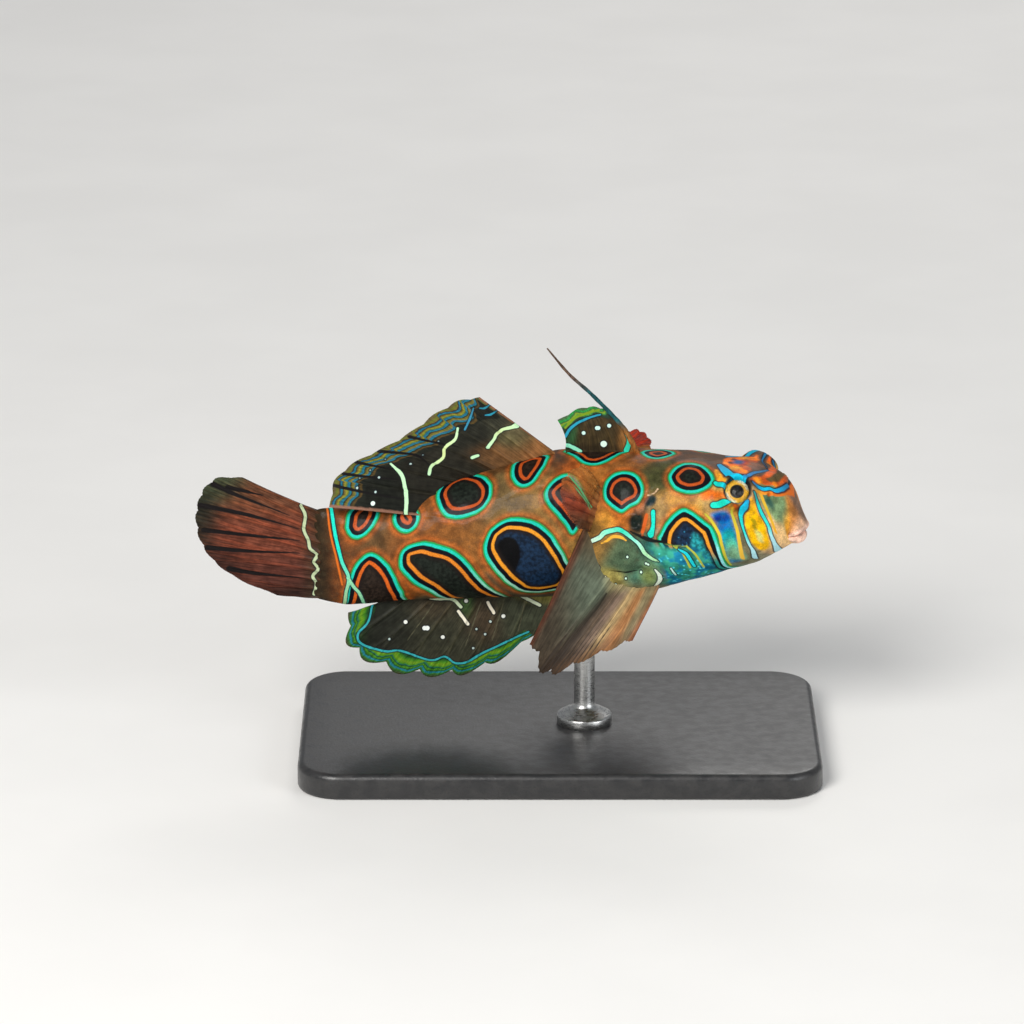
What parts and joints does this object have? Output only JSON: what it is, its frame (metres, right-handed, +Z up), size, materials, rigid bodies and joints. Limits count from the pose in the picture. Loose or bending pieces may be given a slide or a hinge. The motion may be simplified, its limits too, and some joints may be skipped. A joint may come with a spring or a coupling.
{
  "type": "mandarinfish model on a stand",
  "caption": "Still, life-size model of a small spotted reef fish with spread fins, held by a rod above a flat base.",
  "frame": {"origin": "centre of the stand base's underside, on the floor", "axes": "+Z up, +X toward the fish's head, along its body, and -Y toward its right side"},
  "size_m": [0.0718, 0.036, 0.0483],
  "materials": {
    "skin": "satin, wet-looking skin, orange-brown with ringed spots",
    "lip": "satin",
    "eye": "glossy",
    "dark_fin": "satin",
    "red_fin": "satin",
    "pale_fin": "satin",
    "base": "satin black",
    "rod": "brushed"
  },
  "bodies": {
    "root": {"head": "skin", "trunk": "skin", "tail_stalk": "skin", "upper_lip": "lip", "lower_lip": "lip", "eye_right": "eye", "eye_left": "eye", "first_dorsal_fin": "dark_fin", "second_dorsal_fin": "dark_fin", "anal_fin": "dark_fin", "caudal_fin": "red_fin", "pectoral_fin_right": "red_fin", "pectoral_fin_left": "red_fin", "pelvic_fin_right": "pale_fin", "pelvic_fin_left": "pale_fin", "stand_base": "base", "stand_rod": "rod"}
  },
  "joints": []
}
